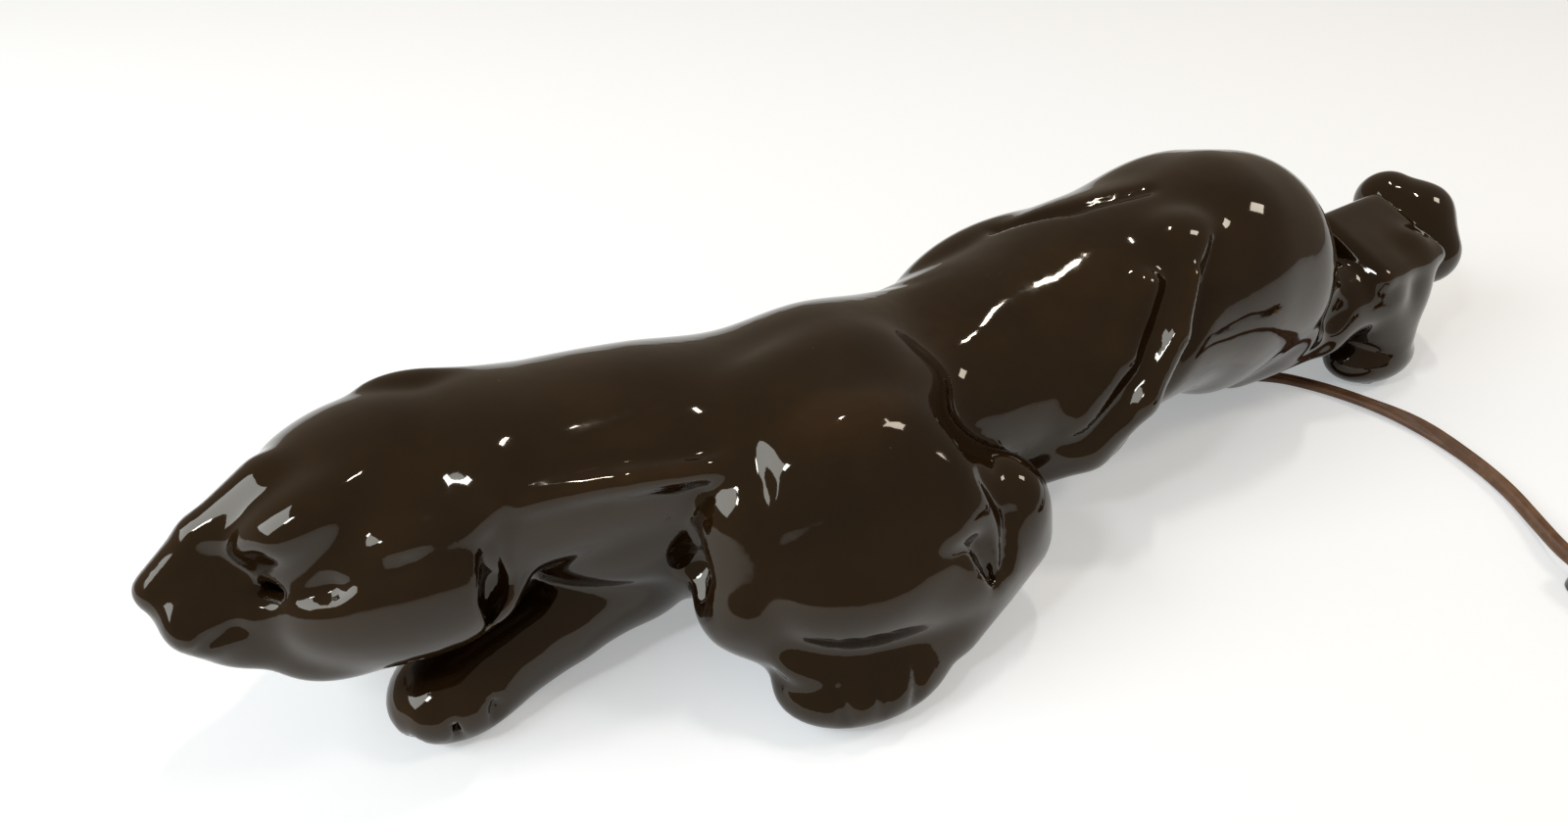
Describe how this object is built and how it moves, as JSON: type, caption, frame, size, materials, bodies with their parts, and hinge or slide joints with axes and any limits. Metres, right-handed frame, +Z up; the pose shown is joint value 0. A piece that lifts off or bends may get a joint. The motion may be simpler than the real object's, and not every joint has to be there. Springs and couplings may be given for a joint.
{
  "type": "television lamp",
  "caption": "Glazed ceramic crouching panther television lamp with an enclosed screw-base bulb, inline cord switch and plug.",
  "frame": {"origin": "on the shelf under the middle of the casting with its pads, cord left out", "axes": "+X from the head to the tail, +Z up, -Y the panther's left side"},
  "size_m": [0.5526, 0.3347, 0.118],
  "materials": {
    "black_glaze": "deep brown-black glossy glaze",
    "felt": "dense green felt",
    "plated_steel": "zinc-plated",
    "brass": "dull stamped brass",
    "fibre": "vulcanised fibre and pressed card",
    "phenolic": "black moulded phenolic",
    "brown_phenolic": "brown moulded phenolic, slightly dulled",
    "cream_plastic": "aged cream plastic",
    "bulb_glass": "inside-frosted",
    "clear_glass": "clear",
    "black_glass": "black glass insulator",
    "aluminium_cap": "thin rolled cap",
    "solder": "dull solder",
    "filament_wire": "tungsten and nickel wire",
    "rubber": "aged black rubber",
    "brown_cord": "brown two-core lamp cord",
    "tie": "paper-covered wire tie"
  },
  "bodies": {
    "lamp": {"ceramic_panther": "black_glaze", "felt_pads": "felt", "socket_bracket": "plated_steel", "bracket_screw": "plated_steel", "fibre_washers": "fibre", "lock_washer": "plated_steel", "bracket_nut": "plated_steel", "socket_nipple": "plated_steel", "nipple_nut": "plated_steel", "socket_cap": "brass", "terminal_block": "phenolic", "terminal_screws": "brass", "screw_shell": "brass", "centre_contact": "brass", "socket_liner": "fibre", "socket_sleeve": "phenolic", "cord_grommet": "rubber", "cord_knot": "brown_cord", "lamp_leads": "brown_cord", "cord_lamp_side": "brown_cord", "cord_mid": "brown_cord", "cord_plug_side": "brown_cord", "cord_coil": "brown_cord", "coil_tie": "tie", "switch_upper_half": "brown_phenolic", "switch_lower_half": "brown_phenolic", "switch_axle": "brass", "switch_contacts": "brass", "switch_screws": "plated_steel", "switch_nuts": "brass", "plug_body": "brown_phenolic", "plug_core": "phenolic", "plug_cover": "fibre", "plug_screws": "brass", "plug_blades": "brass"},
    "bulb_carrier": {"bulb_tip": "solder"},
    "bulb": {"bulb_glass": "bulb_glass", "bulb_base": "aluminium_cap", "bulb_insulator": "black_glass", "bulb_stem": "clear_glass", "bulb_supports": "filament_wire", "bulb_filament": "filament_wire"},
    "switch_wheel_body": {"switch_wheel": "cream_plastic"}
  },
  "joints": [
    {"name": "bulb_advance", "type": "slide", "parent": "lamp", "child": "bulb_carrier", "axis": [-1, 0, 0], "range_m": [0, 0.0127]},
    {"name": "bulb_turn", "type": "hinge", "parent": "bulb_carrier", "child": "bulb", "pos_m": [0.131, 0.024, 0.06], "axis": [-1, 0, 0], "range_deg": [0, 1260]},
    {"name": "switch_turn", "type": "hinge", "parent": "lamp", "child": "switch_wheel_body", "pos_m": [0.19108, -0.15732, 0.0065], "axis": [0, 0, 1], "continuous": true}
  ],
  "couplings": [
    {"joint": "bulb_advance", "follows": "bulb_turn", "m_per_rad": 0.00057751}
  ]
}
